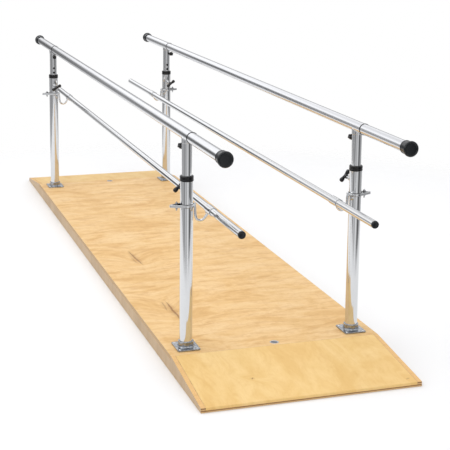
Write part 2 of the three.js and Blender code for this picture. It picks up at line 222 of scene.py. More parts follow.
def rubber(name, base, rough, grain=900.0, bump=0.12):
    n = Nodes(name)
    a = n.noise(n.coord, grain, 3, 0.6)
    b = n.noise(n.coord, 60.0, 5, 0.6)
    dust = n.rng(b, 0.52, 0.78, 0.0, 0.35)
    n.set(Base_Color=n.mix(dust, base, tuple(c * 1.9 + 0.004 for c in base[:3]) + (1,)),
          Roughness=n.math("MULTIPLY_ADD", b, 0.14, rough), Specular_IOR_Level=0.42)
    n.bump(a, bump, 0.0004)
    return n.mat


KNOTS = (  # x, y in metres, heading of the mark, half-length, half-width, strength
    (-0.241, -0.190, radians(93), 0.150, 0.0055, 0.80),
    (-0.274, -0.960, radians(90), 0.150, 0.0060, 0.85),
    (-0.255, -0.230, radians(96), 0.070, 0.0035, 0.45),
    (-0.292, -0.900, radians(86), 0.080, 0.0040, 0.50),
    (0.155, 0.420, radians(96), 0.050, 0.0040, 0.30),
)


def veneer(name, light, base, dark, knot, along="X", knots=(), seed=0.0, contrast=1.0):
    """Rotary-cut veneer. The grain runs along X or Y, and bends round each knot."""
    n = Nodes(name)
    x, y, z = n.xyz()
    if along == "X":
        u, v = x, y
    else:
        u, v = y, x
    mark = None
    push = None
    for kx, ky, head, hl, hw, strength in knots:
        dx, dy = n.math("SUBTRACT", x, kx), n.math("SUBTRACT", y, ky)
        wob = n.math("MULTIPLY_ADD", n.noise(n.mapped((1, 1, 1), (kx, ky, 3.0)), 14.0, 3, 0.5), 0.018, -0.009)
        a = n.math("ADD", n.math("MULTIPLY", dx, cos(head)), n.math("MULTIPLY", dy, sin(head)))
        b = n.math("ADD", n.math("ADD", n.math("MULTIPLY", dx, -sin(head)), n.math("MULTIPLY", dy, cos(head))), wob)
        # grain that swells round the knot
        near = n.math("ADD", n.math("POWER", n.math("DIVIDE", a, hl * 1.5), 2.0),
                      n.math("POWER", n.math("DIVIDE", b, 0.075), 2.0))
        swell = n.math("POWER", 2.718, n.math("MULTIPLY", near, -1.0))
        p = n.math("MULTIPLY", swell, 0.05)
        push = p if push is None else n.math("ADD", push, p)
        # the dark streak itself, pointed at both ends, in a soft shade
        wide = n.math("MULTIPLY", n.rng(n.math("ABSOLUTE", a), 0.0, hl, 1.0, 0.12, True), hw)
        inside = n.math("DIVIDE", n.math("ABSOLUTE", b), wide)
        ends = n.rng(n.math("ABSOLUTE", a), hl * 0.45, hl, 1.0, 0.0, True)
        streak = n.math("MULTIPLY", n.rng(inside, 0.2, 1.8, 1.0, 0.0, True), ends)
        halo = n.math("MULTIPLY", n.math("MULTIPLY", n.rng(inside, 0.5, 5.5, 1.0, 0.0, True), ends), 0.33)
        streak = n.math("MULTIPLY", n.math("MAXIMUM", streak, halo), strength)
        mark = streak if mark is None else n.math("MAXIMUM", mark, streak)
    vv = n.math("ADD", v, push) if push is not None else v
    warp = n.noise(n.combine(n.math("MULTIPLY", u, 3.6), n.math("MULTIPLY", vv, 4.6), seed), 1.0, 5, 0.62, 0.6)
    vv = n.math("MULTIPLY_ADD", warp, 0.060, vv)
    figure = n.noise(n.combine(n.math("MULTIPLY", u, 7.5), n.math("MULTIPLY", vv, 27.0), seed + 4.0), 1.0, 6, 0.70, 0.9)
    fine = n.noise(n.combine(n.math("MULTIPLY", u, 30.0), n.math("MULTIPLY", vv, 140.0), seed + 9.0), 1.0, 4, 0.65, 0.5)
    pore = n.noise(n.combine(n.math("MULTIPLY", u, 45.0), n.math("MULTIPLY", vv, 900.0), seed + 2.0), 1.0, 2, 0.5)
    cloud = n.noise(n.combine(n.math("MULTIPLY", u, 3.4), n.math("MULTIPLY", vv, 8.0), seed + 6.0), 1.0, 6, 0.64, 0.8)
    ripple = n.noise(n.combine(n.math("MULTIPLY", u, 34.0), n.math("MULTIPLY", vv, 9.0), seed + 12.0), 1.0, 3, 0.55, 0.8)
    c = n.mix(n.rng(cloud, 0.38, 0.60, 0.0, 1.0), light, base)
    c = n.mix(n.rng(cloud, 0.54, 0.76, 0.0, 0.46 * contrast), c, dark)
    c = n.mix(n.rng(figure, 0.49, 0.76, 0.0, 0.66 * contrast), c, dark)
    c = n.mix(n.rng(figure, 0.44, 0.24, 0.0, 0.45 * contrast), c, light)
    c = n.mix(n.rng(ripple, 0.52, 0.80, 0.0, 0.20 * contrast), c, dark)
    c = n.mix(n.rng(fine, 0.50, 0.82, 0.0, 0.40 * contrast), c, dark)
    c = n.mix(n.rng(pore, 0.62, 0.85, 0.0, 0.22 * contrast), c, knot)
    if mark is not None:
        c = n.mix(mark, c, knot)
    n.set(Base_Color=c, Roughness=n.math("MULTIPLY_ADD", fine, 0.16, 0.36), Specular_IOR_Level=0.22)
    n.bump(n.math("ADD", n.math("MULTIPLY", fine, 0.6), pore), 0.10, 0.0003)
    return n.mat


def ply_edge(name, plies, pitch, z0, light, dark, glue, axis="Z"):
    """Cut edge of plywood: layers along one axis, broken by end grain."""
    n = Nodes(name)
    x, y, z = n.xyz()
    h = {"Z": z, "X": x, "Y": y}[axis]
    wav = n.noise(n.mapped((3, 3, 3)), 3.0, 2, 0.5)
    t = n.math("DIVIDE", n.math("SUBTRACT", n.math("MULTIPLY_ADD", wav, 0.0008, h), z0 + 0.0004), pitch)
    layer = n.math("MODULO", n.math("FLOOR", t), 2.0)
    f = n.math("FRACT", t)
    line = n.math("MAXIMUM", n.rng(f, 0.0, 0.10, 1.0, 0.0), n.rng(f, 0.90, 1.0, 0.0, 1.0))
    endg = n.noise(n.mapped((260, 260, 900)), 1.0, 3, 0.7)
    run = n.noise(n.mapped((7, 7, 420)), 1.0, 4, 0.6)
    c = n.mix(layer, light, dark)
    c = n.mix(n.rng(endg, 0.4, 0.75, 0.0, 0.45), c, dark)
    c = n.mix(n.rng(run, 0.5, 0.8, 0.0, 0.35), c, glue)
    c = n.mix(n.math("MULTIPLY", line, 0.75), c, glue)
    n.set(Base_Color=c, Roughness=0.55, Specular_IOR_Level=0.35)
    n.bump(endg, 0.15, 0.0004)
    return n.mat


M = {}
M["deck"] = veneer("deck_veneer", lin(237, 202, 148), lin(228, 187, 124), lin(198, 146, 82), lin(140, 92, 46),
                   "X", KNOTS, 0.0, 1.22)
M["ramp"] = veneer("ramp_veneer", lin(238, 204, 140), lin(230, 191, 122), lin(212, 163, 92), lin(156, 108, 54),
                   "Y", ((-0.177, -1.673, radians(60), 0.010, 0.003, 0.8), (0.377, -1.798, radians(20), 0.012, 0.002, 0.6)),
                   21.0, 0.55)
# side-board face veneer, a darker, greyer taupe than the deck: partly the wood's own tone and partly painted shade of
# the side-facing faces
M["board_face"] = veneer("board_veneer", lin(196, 170, 136), lin(186, 160, 126), lin(158, 128, 94), lin(120, 90, 60),
                         "Y", (), 40.0, 0.8)
M["board_edge"] = ply_edge("board_edge", 9, 0.0020, -0.419, lin(238, 196, 134), lin(224, 178, 114), lin(178, 128, 76), "X")
# deck's cut edge: the ply layers are real; its darker taupe tone is partly painted shade of the side-facing faces
M["deck_edge"] = ply_edge("deck_edge", 7, 0.00214, 0.050, lin(200, 172, 134), lin(180, 146, 104), lin(120, 88, 58))
M["toe_edge"] = ply_edge("toe_edge", 3, 0.0042, 0.0, lin(226, 190, 136), lin(150, 108, 64), lin(92, 62, 34))
M["pine"] = veneer("batten_pine", lin(226, 196, 146), lin(212, 176, 122), lin(180, 134, 82), lin(130, 84, 44), "X", (), 60.0, 1.0)
M["chrome"] = chrome("chrome_plate", (0.69, 0.70, 0.71, 1), 0.045, 0.095)
M["rail"] = chrome("chrome_rail", (0.71, 0.72, 0.74, 1), 0.12, 0.19)
M["chrome_fit"] = chrome("chrome_fittings", (0.66, 0.67, 0.68, 1), 0.07, 0.13)
M["zinc"] = zinc("zinc_plate")
M["satin"] = chrome("satin_steel", (0.62, 0.63, 0.65, 1), 0.42, 0.52)
# near-black material for recesses: painted shade, used for the dark crosses on the screw heads and on the hole cutters
M["bore"] = rubber("tube_bore", (0.03, 0.03, 0.032, 1), 0.55)
M["rubber"] = rubber("black_rubber", (0.0045, 0.0068, 0.0085, 1), 0.17, 700.0, 0.14)
M["plastic"] = rubber("black_plastic", (0.0028, 0.0028, 0.0032, 1), 0.15, 500.0, 0.08)
M["steel_dark"] = chrome("dark_steel", (0.30, 0.30, 0.31, 1), 0.22, 0.34)


# =============================================================================
# Geometry helpers, all in millimetres until the object is made
# =============================================================================
def rounded(profile, steps=4):
    """(r, z) or (r, z, radius) corners of an open or closed outline; a radius rounds that corner."""
    out = []
    n = len(profile)
    for i, p in enumerate(profile):
        rad = p[2] if len(p) > 2 else 0.0
        if rad <= 0 or i == 0 and len(profile[0]) < 3:
            out.append((p[0], p[1]))
            continue
        a, b, c = Vector(profile[i - 1][:2]), Vector(p[:2]), Vector(profile[(i + 1) % n][:2])
        u, v = (a - b), (c - b)
        lu, lv = u.length, v.length
        u.normalize(); v.normalize()
        ang = u.angle(v)
        t = min(rad / math.tan(ang / 2), lu * 0.49, lv * 0.49)
        r = t * math.tan(ang / 2)
        p0, p1 = b + u * t, b + v * t
        centre = b + (u + v).normalized() * (r / sin(ang / 2))
        a0, a1 = math.atan2(*(p0 - centre).yx), math.atan2(*(p1 - centre).yx)
        d = (a1 - a0 + pi) % (2 * pi) - pi
        for k in range(steps + 1):
            q = a0 + d * k / steps
            out.append((centre.x + r * cos(q), centre.y + r * sin(q)))
    return out


def lathe(profile, seg=96, closed=False):
    V, F, rings = [], [], []
    for r, z in profile:
        if r < 1e-6:
            V.append((0, 0, z)); rings.append([len(V) - 1])
        else:
            b = len(V)
            V += [(r * cos(2 * pi * i / seg), r * sin(2 * pi * i / seg), z) for i in range(seg)]
            rings.append(list(range(b, b + seg)))
    n = len(rings)
    for k in range(n if closed else n - 1):
        A, B = rings[k], rings[(k + 1) % n]
        for i in range(seg):
            j = (i + 1) % seg
            if len(A) == 1 and len(B) == 1:
                continue
            if len(A) == 1:
                F.append((A[0], B[i], B[j]))
            elif len(B) == 1:
                F.append((A[i], B[0], A[j]))
            else:
                F.append((A[i], B[i], B[j], A[j]))
    return V, F


def catmull(pts, n):
    P = [Vector(p) for p in pts]
    P = [P[0] * 2 - P[1]] + P + [P[-1] * 2 - P[-2]]
    out = []
    segs = len(P) - 3
    for k in range(n + 1):
        t = k / n * segs
        i = min(int(t), segs - 1)
        t -= i
        a, b, c, d = P[i:i + 4]
        out.append(0.5 * ((2 * b) + (c - a) * t + (2 * a - 5 * b + 4 * c - d) * t * t + (3 * b - a - 3 * c + d) * t ** 3))
    return out


def sweep(path, radius, seg=24, round_ends=(True, True), closed=False):
    """Round tube along a path; radius is a number or one per point."""
    P = [Vector(p) for p in path]
    rad = [radius] * len(P) if isinstance(radius, (int, float)) else list(radius)
    if not closed:
        for end in (0, 1):
            if round_ends[end]:
                a, b = (P[0], P[1]) if end == 0 else (P[-1], P[-2])
                d = (a - b).normalized()
                r = rad[0] if end == 0 else rad[-1]
                extra = [(a + d * (r * sin(q)), r * cos(q)) for q in (radians(25), radians(50), radians(72))]
                if end == 0:
                    P = [e[0] for e in reversed(extra)] + P; rad = [e[1] for e in reversed(extra)] + rad
                else:
                    P = P + [e[0] for e in extra]; rad = rad + [e[1] for e in extra]
    n = len(P)
    tang = []
    for i in range(n):
        if closed:
            tang.append((P[(i + 1) % n] - P[i - 1]).normalized())
        else:
            tang.append((P[min(i + 1, n - 1)] - P[max(i - 1, 0)]).normalized())
    ref = Vector((0, 1, 0)) if abs(tang[0].y) < 0.8 else Vector((1, 0, 0))
    nor = (ref - tang[0] * ref.dot(tang[0])).normalized()
    V, F = [], []
    for i in range(n):
        nor = (nor - tang[i] * nor.dot(tang[i])).normalized()
        bi = tang[i].cross(nor)
        V += [tuple(P[i] + (nor * cos(2 * pi * k / seg) + bi * sin(2 * pi * k / seg)) * rad[i]) for k in range(seg)]
    for i in range(n if closed else n - 1):
        for k in range(seg):
            a, b = i * seg + k, i * seg + (k + 1) % seg
            m = (i + 1) % n
            F.append((a, b, m * seg + (k + 1) % seg, m * seg + k))
    if not closed:
        F.append(tuple(range(seg)))
        F.append(tuple((n - 1) * seg + k for k in range(seg)))
    return V, F


def offset_loop(outline, d):
    """Moves a closed 2-D outline inwards by d (outline counter-clockwise)."""
    n = len(outline)
    out = []
    for i in range(n):
        a, b, c = Vector(outline[i - 1]), Vector(outline[i]), Vector(outline[(i + 1) % n])
        u, v = (b - a), (c - b)
        u = u.normalized() if u.length > 1e-9 else v.normalized()
        v = v.normalized() if v.length > 1e-9 else u
        nrm = Vector((-(u.y + v.y), u.x + v.x))
        nrm = nrm.normalized() if nrm.length > 1e-9 else Vector((-u.y, u.x))
        k = max(0.35, nrm.dot(Vector((-u.y, u.x))))
        p = b + nrm * (d / k)
        out.append((p.x, p.y))
    return out


def prism(outline, z0, z1, bevel=0.8, steps=3, holes=()):
    """Extruded outline (counter-clockwise), bevelled at both faces; holes are bevelled the other way."""
    V, F = [], []
    loops_top, loops_bottom = [], []
    for idx, o in enumerate([outline] + list(holes)):
        sign = 1 if idx == 0 else -1
        levels = []
        for k in range(steps + 1):
            q = pi / 2 * k / steps
            levels.append((bevel * (1 - sin(q)), z0 + bevel * (1 - cos(q))))
        levels += [(d, z0 + z1 - z) for d, z in reversed(levels)]
        rings = []
        for d, z in levels:
            ring = offset_loop(o, d * sign) if d > 1e-9 else list(o)
            b = len(V)
            V += [(p[0], p[1], z) for p in ring]
            rings.append(list(range(b, b + len(o))))
        m = len(o)
        for A, B in zip(rings, rings[1:]):
            for i in range(m):
                j = (i + 1) % m
                F.append((A[i], A[j], B[j], B[i]))
        loops_bottom.append(rings[0]); loops_top.append(rings[-1])
    return V, F, loops_bottom, loops_top


def circle(r, n, cx=0.0, cy=0.0, a0=0.0):
    return [(cx + r * cos(a0 + 2 * pi * i / n), cy + r * sin(a0 + 2 * pi * i / n)) for i in range(n)]


def round_rect(w, h, r, n=8):
    out = []
    for cx, cy, a0 in ((w / 2 - r, h / 2 - r, 0), (-w / 2 + r, h / 2 - r, 90), (-w / 2 + r, -h / 2 + r, 180), (w / 2 - r, -h / 2 + r, 270)):
        out += [(cx + r * cos(radians(a0 + 90 * k / n)), cy + r * sin(radians(a0 + 90 * k / n))) for k in range(n + 1)]
    return out


def weighted(o):
    """Large faces set the normals and the small roundings between them take the turn."""
    m = o.modifiers.new("weighted", "WEIGHTED_NORMAL")
    m.keep_sharp = True
    m.mode = "FACE_AREA"
    m.weight = 50
    old = o.data
    me = bpy.data.meshes.new_from_object(o.evaluated_get(bpy.context.evaluated_depsgraph_get()))
    o.modifiers.clear()
    o.data = me
    name = old.name
    bpy.data.meshes.remove(old)
    me.name = name


class Piece:
    """Collects closed shells, each with a material, and makes one object of them."""

    def __init__(self):
        self.bm = bmesh.new()
        self.mats = []

    def add(self, shell, mat, move=None):
        V, F = shell[0], shell[1]
        if mat not in self.mats:
            self.mats.append(mat)
        mi = self.mats.index(mat)
        part = bmesh.new()
        vs = [part.verts.new(v) for v in V]
        part.verts.ensure_lookup_table()
        for f in F:
            try:
                part.faces.new([vs[i] for i in f])
            except ValueError:
                pass
        for loops in shell[2:]:      # caps of a prism, with holes
            edges = []
            for loop in loops:
                for i, a in enumerate(loop):
                    b = loop[(i + 1) % len(loop)]
                    e = part.edges.get((vs[a], vs[b])) or part.edges.new((vs[a], vs[b]))
                    edges.append(e)
            if len(loops) == 1:
                part.faces.new([vs[i] for i in loops[0]])
            else:
                bmesh.ops.triangle_fill(part, use_beauty=True, use_dissolve=False, edges=edges)
        bmesh.ops.remove_doubles(part, verts=part.verts, dist=1e-4)
        bmesh.ops.recalc_face_normals(part, faces=part.faces)
        vol = part.calc_volume(signed=True)
        if vol < 0:
            bmesh.ops.reverse_faces(part, faces=part.faces)
        if move is not None:
            part.transform(move)
        for f in part.faces:
            f.material_index = mi
        me = bpy.data.meshes.new("tmp")
        part.to_mesh(me)
        part.free()
        self.bm.from_mesh(me)
        bpy.data.meshes.remove(me)
        return self

    def make(self, name, body, nodes=(), slot=None, move=None, angle=38.0, ride=True):
        if move is not None:
            self.bm.transform(move)
        self.bm.transform(Matrix.Scale(MM, 4))
        me = bpy.data.meshes.new(name)
        self.bm.to_mesh(me)
        self.bm.free()
        for m in self.mats:
            me.materials.append(M[m])
        me.polygons.foreach_set("use_smooth", [True] * len(me.polygons))
        me.set_sharp_from_angle(angle=radians(angle))
        o = bpy.data.objects.new(name, me)
        bpy.context.scene.collection.objects.link(o)
        if ride:
            weighted(o)
            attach(o, body)
        if nodes:
            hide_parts(*nodes)
        return o


def T(x, y, z):
    return Matrix.Translation((x, y, z))


def along_y(d):
    """Turns +Z onto +Y (d = 1) or -Y (d = -1)."""
    return Matrix.Rotation(-pi / 2 if d > 0 else pi / 2, 4, "X")


def cut(obj, cutters, op="DIFFERENCE"):
    """Boolean with other objects, applied, which are then removed."""
    for c in cutters:
        m = obj.modifiers.new("cut", "BOOLEAN")
        m.operation = op
        m.solver = "EXACT"
        m.object = c
    bpy.context.view_layer.update()
    dg = bpy.context.evaluated_depsgraph_get()
    me = bpy.data.meshes.new_from_object(obj.evaluated_get(dg))
    obj.modifiers.clear()
    old = obj.data
    name = old.name
    obj.data = me
    bpy.data.meshes.remove(old)
    me.name = name
    for c in cutters:
        d = c.data
        bpy.data.objects.remove(c)
        bpy.data.meshes.remove(d)
    return obj


def smooth_again(obj, angle=38.0):
    me = obj.data
    me.polygons.foreach_set("use_smooth", [True] * len(me.polygons))
    me.set_sharp_from_angle(angle=radians(angle))


def radial_normals(obj, x, y, radii, tol=0.12):
    """Exact normals on the round walls of a tube that has been cut, so the plating stays smooth."""
    me = obj.data
    normals = [None] * len(me.loops)
    base = [tuple(n.vector) for n in me.corner_normals]
    for p in me.polygons:
        c = p.center
        d = Vector((c.x - x, c.y - y, 0))
        r = d.length / MM
        wall = abs(p.normal.z) < 0.05 and any(abs(r - q) < tol for q in radii) and abs(p.normal.dot(d.normalized())) > 0.995
        for li in p.loop_indices:
            if wall:
                v = me.vertices[me.loops[li].vertex_index].co
                q = Vector((v.x - x, v.y - y, 0)).normalized()
                if p.normal.dot(q) < 0:
                    q = -q
                normals[li] = tuple(q)
            else:
                normals[li] = base[li]
    me.normals_split_custom_set(normals)


# =============================================================================
# Platform
# =============================================================================
HW, HL, HP = DECK_W / 2, DECK_L / 2, PLATFORM_L / 2
GAP = 0.3


def platform():
    # deck: bevelled panel with two round holes for the flush sockets
    outline = [(-HW, -HL), (HW, -HL), (HW, HL), (-HW, HL)]
    holes = [circle(SOCKET_R + 0.25, 64, 0, sy * SOCKET_Y) for sy in (-1, 1)]
    p = Piece().add(prism(outline, DECK_TOP - DECK_T, DECK_TOP, 1.2, 3, holes), "deck")
    o = p.make("deck", ROOT, ["deck_panel"], "deck_ply")
    o.data.materials.append(M["deck_edge"])
    for f in o.data.polygons:
        if abs(f.normal.z) < 0.75:
            f.material_index = 1

    for name, s in (("near", -1), ("far", 1)):
        prof = rounded([(0, DECK_TOP - DECK_T + 0.3), (SOCKET_R, DECK_TOP - DECK_T + 0.3), (SOCKET_R, DECK_TOP, 0.5),
                        (SOCKET_BORE_R, DECK_TOP, 1.0), (SOCKET_BORE_R, DECK_TOP - SOCKET_DEPTH, 1.0), (0, DECK_TOP - SOCKET_DEPTH)])
        p = Piece().add(lathe(prof, 64), "satin")
        p.add(lathe(rounded([(0, 54.3), (3.0, 54.3), (3.6, 53.9, 0.2), (4.0, 53.3), (0, 53.3)]), 32), "steel_dark")
        p.make(f"board_socket_{name}", ROOT, [f"board_socket_{name}"], "zinc_fitting", T(0, s * SOCKET_Y, 0))

    edge_y = HL + GAP
    under = DECK_TOP - DECK_T - GAP
    outline = [(-HP, 0), (HP, 0), (HP, TOE_H), (edge_y, DECK_TOP), (edge_y, under), (-edge_y, under), (-edge_y, DECK_TOP), (-HP, TOE_H)]
    # the prism is drawn in (y, z) and extruded along x
    lay = Matrix(((0, 0, 1, 0), (1, 0, 0, 0), (0, 1, 0, 0), (0, 0, 0, 1)))
    for side, x0, x1 in (("left", -HW, -HW + BOARD_T), ("right", HW - BOARD_T, HW)):
        p = Piece().add(prism(outline, x0, x1, 1.1, 3), "board_face", lay)
        o = p.make(f"side_board_{side}", ROOT, [f"side_board_{side}"], "edge_ply")
        o.data.materials.append(M["board_edge"])
        o.data.materials.append(M["toe_edge"])
        for f in o.data.polygons:
            if abs(f.normal.y) > 0.6:
                f.material_index = 2
            elif abs(f.normal.x) < 0.7:
                f.material_index = 1

    slope = (DECK_TOP - TOE_H) / (HP - edge_y)
    top = lambda y: TOE_H + slope * (HP - y)
    nose = HP - NOSING
    inside = HW - BOARD_T - GAP
    for name, s in (("near", -1), ("far", 1)):
        pts = [(edge_y, DECK_TOP), (HP, TOE_H), (HP, 8.0), (HP, 0), (nose, 0), (nose, top(nose) - RAMP_T), (edge_y, DECK_TOP - RAMP_T)]
        pts = [(s * y, z) for y, z in pts]
        area = sum(pts[i - 1][0] * pts[i][1] - pts[i][0] * pts[i - 1][1] for i in range(len(pts)))
        if area < 0:
            pts.reverse()
        pts = rounded([(y, z, 3.5) if abs(abs(y) - HP) < 1 and z > 12 else ((y, z) if abs(z - 8.0) < 0.1 else (y, z, 0.6)) for y, z in pts], 5)
        p = Piece().add(prism(pts, -inside, inside, 0.5, 2), "ramp", lay)
        o = p.make(f"ramp_{name}", ROOT, [f"ramp_{name}"], "ramp_ply")
        o.data.materials.append(M["toe_edge"])
        for f in o.data.polygons:
            if f.normal.z < 0.45 and not (f.center.z > 0.0081 and abs(f.center.y) > 1.8):
                f.material_index = 1

    for name, y, w in (("near", -POST_Y, 130), ("mid", 0, 90), ("far", POST_Y, 130)):
        outline = [(-inside, -w / 2), (inside, -w / 2), (inside, w / 2), (-inside, w / 2)]
        Piece().add(prism(outline, 0, under, 2.0, 3), "pine").make(f"batten_{name}", ROOT, [f"batten_{name}"], "batten_pine", T(0, y, 0))


# =============================================================================
# Posts
# =============================================================================
def screw_head(r=5.6):
    """Pan head, seated at z = 0: a plain lathe. Its cross recess is not cut; a dark cross of painted shade is laid on
    its top separately.
    """
    V, F = lathe([(0, -1.2), (r * 0.5, -1.2), (r * 0.97, 0.0), (r, 0.35), (r * 0.93, 1.1), (r * 0.72, 1.75), (r * 0.45, 2.05), (r * 0.16, 2.15), (0, 2.15)], 32)
    return V, F


# dark cross set flush into a screw head's top: painted shade standing in for the shaded cross recess
def cross_shade_mark():
    w, l = 0.55, 2.5
    out = [(l, -w), (l, w), (w, w), (w, l), (-w, l), (-w, w), (-l, w), (-l, -w), (-w, -w), (-w, -l), (w, -l), (w, -w)]
    return prism(out, 1.0, 2.2, 0.08, 1)


def flange(name, sx, sy):
    z0 = DECK_TOP + GAP
    p = Piece()
    outline = round_rect(88, 102, 7, 8)
    ring_hole = circle(OUTER_R + 0.2, 64)
    p.add(prism(outline, z0, z0 + 5, 0.9, 3, [ring_hole]), "zinc")
    # socket ring with a weld fillet at its foot
    prof = rounded([(OUTER_R + 0.2, z0 + 4), (34.0, z0 + 4.6), (30.9, z0 + 6.0, 1.6), (29.5, z0 + 9.5, 2.0), (29.5, 92, 1.6), (OUTER_R + 0.2, 92, 0.8)], 5)
    p.add(lathe(prof, 96, True), "zinc")
    # a set screw in the ring
    o = p.make(f"base_flange_{name}", ROOT, [f"base_flange_{name}"], "zinc_fitting", T(sx * POST_X, sy * POST_Y, 0))
    s = Piece()
    for i, (a, b) in enumerate(((1, 1), (-1, 1), (-1, -1), (1, -1))):
        turn = Matrix.Rotation(0.5 + i * 1.1 + sx + sy * 0.4, 4, "Z")
        s.add(screw_head(), "chrome_fit", T(a * 33, b * 39, z0 + 5.0) @ turn)
        # the dark cross on each head is painted shade for the recess
        s.add(cross_shade_mark(), "bore", T(a * 33, b * 39, z0 + 5.03) @ turn)
    d = -sy
    hexa = [(0, 0), (3.2, 0), (3.2, 2.4), (2.6, 2.9), (0, 2.9)]
    s.add(lathe(hexa, 24), "steel_dark", T(0, d * 29.2, 82) @ along_y(d))
    s.make(f"flange_screws_{name}", ROOT, (), "zinc_fitting", T(sx * POST_X, sy * POST_Y, 0))
    return o


def outer_tube(name, sx, sy):
    d = -sy
    p = Piece()
    z0 = DECK_TOP + GAP + 5 + GAP
    zs = [z0 + 1, PIN_Z - 14, PIN_Z + 14]
    prof = rounded([(OUTER_BORE_R, z0), (OUTER_R, z0, 0.6), (OUTER_R, PIN_Z - 14), (OUTER_R, PIN_Z + 14),
                    (OUTER_R, OUTER_TOP, 0.8), (OUTER_BORE_R, OUTER_TOP, 0.5), (OUTER_BORE_R, PIN_Z + 14), (OUTER_BORE_R, PIN_Z - 14)], 3)
    p.add(lathe(prof, 96, True), "chrome")
    o = p.make(f"outer_tube_{name}", ROOT, [f"outer_tube_{name}"], "chrome_tube", T(sx * POST_X, sy * POST_Y, 0))
    # spring barrel of the pin, with a weld bead at its root
    b = Piece()
    r = PIN_R + 0.45
    barrel = rounded([(r, 22.4), (BOSS_R, 22.4), (BOSS_R, BOSS_END - 12), (BOSS_R - 0.9, BOSS_END - 11, 0.5), (BOSS_R - 0.9, BOSS_END - 8.6, 0.5),
                      (BOSS_R, BOSS_END - 7.6, 0.3), (BOSS_R, BOSS_END, 1.4), (r, BOSS_END, 0.6)], 4)
    b.add(lathe(barrel, 64, True), "chrome_fit", along_y(d))
    path = []
    for k in range(48):
        a = 2 * pi * k / 48
        x, z = (BOSS_R + 0.5) * cos(a), (BOSS_R + 0.5) * sin(a)
        path.append((x, d * math.sqrt((OUTER_R + 0.2) ** 2 - x * x), z))
    b.add(sweep(path, 1.15, 10, closed=True), "chrome_fit")
    b.make(f"pin_barrel_{name}", ROOT, (), "chrome_tube", T(sx * POST_X, sy * POST_Y, PIN_Z))
    return o


def collar(name, sx, sy):
    prof = rounded([(INNER_R + 0.25, OUTER_TOP - 25), (OUTER_BORE_R - 0.25, OUTER_TOP - 25, 0.5), (OUTER_BORE_R - 0.25, OUTER_TOP + 0.3),
                    (26.0 - 0.9, OUTER_TOP + 0.3, 0.4), (26.0, OUTER_TOP + 1.8, 0.8), (26.0, OUTER_TOP + 6.2, 0.6), (25.3, OUTER_TOP + 7.0, 0.3),
                    (25.3, OUTER_TOP + 8.2, 0.3), (26.0, OUTER_TOP + 9.0, 0.6),
                    (26.0, OUTER_TOP + 18.2, 1.6), (23.4, OUTER_TOP + 21.0, 1.4), (INNER_R + 0.9, OUTER_TOP + 21.0, 0.5), (INNER_R + 0.25, OUTER_TOP + 19.6, 0.4)], 4)
    Piece().add(lathe(prof, 96, True), "plastic").make(f"post_collar_{name}", ROOT, [f"post_collar_{name}"], "black_plastic", T(sx * POST_X, sy * POST_Y, 0))


def cylinder_cutter(r, y0, y1, d, z, turn=0.0, seg=32):
    p = Piece().add(lathe([(0, y0), (r, y0), (r, y1), (0, y1)], seg), "bore", Matrix.Rotation(turn, 4, "Z") @ along_y(d))
    return p.make("cutter", None, ride=False, move=None), z


def inner_tube(name, sx, sy):
    d = -sy
    side = name.split("_")[1]
    top = NECK_BOTTOM - GAP
    p = Piece()
    levels = [INNER_BOTTOM + 3]
    for i in reversed(range(HOLE_COUNT)):
        z = HOLE_TOP_Z - i * HOLE_PITCH
        levels += [z - 8, z + 8]
    levels += [KNOB_Z - 7, KNOB_Z + 7]
    prof = [(INNER_BORE_R, INNER_BOTTOM), (INNER_R - 0.4, INNER_BOTTOM), (INNER_R, INNER_BOTTOM + 0.4)]
    prof += [(INNER_R, z) for z in levels]
    prof += [(INNER_R, top - 0.4), (INNER_R - 0.4, top), (INNER_BORE_R, top)]
    prof += [(INNER_BORE_R, z) for z in reversed(levels)]
    p.add(lathe(prof, 96, True), "chrome")
    o = p.make(f"inner_tube_{name}", f"adult_rail_{side}", [f"inner_tube_{name}"], "chrome_tube")
    cutters = Piece()
    for i in range(HOLE_COUNT):
        z = HOLE_TOP_Z - i * HOLE_PITCH
        cutters.add(lathe([(0, 8), (HOLE_R, 8), (HOLE_R, 30), (0, 30)], 32), "bore", T(0, 0, z) @ along_y(d))
    turn = radians(KNOB_TURN[name])
    cutters.add(lathe([(0, 8), (4, 8), (4, 30), (0, 30)], 24), "bore", T(0, 0, KNOB_Z) @ Matrix.Rotation(turn, 4, "Z") @ along_y(d))
    c = cutters.make("cutter", None, ride=False)
    parent = o.parent
    o.parent = None
    cut(o, [c])
    o.parent = parent
    o.data.transform(T(sx * POST_X * MM, sy * POST_Y * MM, 0))
    me = o.data
    if "chrome_plate" not in [m.name for m in me.materials]:
        me.materials.clear(); me.materials.append(M["chrome"])
    smooth_again(o, 30)
    radial_normals(o, sx * POST_X * MM, sy * POST_Y * MM, (INNER_R, INNER_BORE_R))
    return o


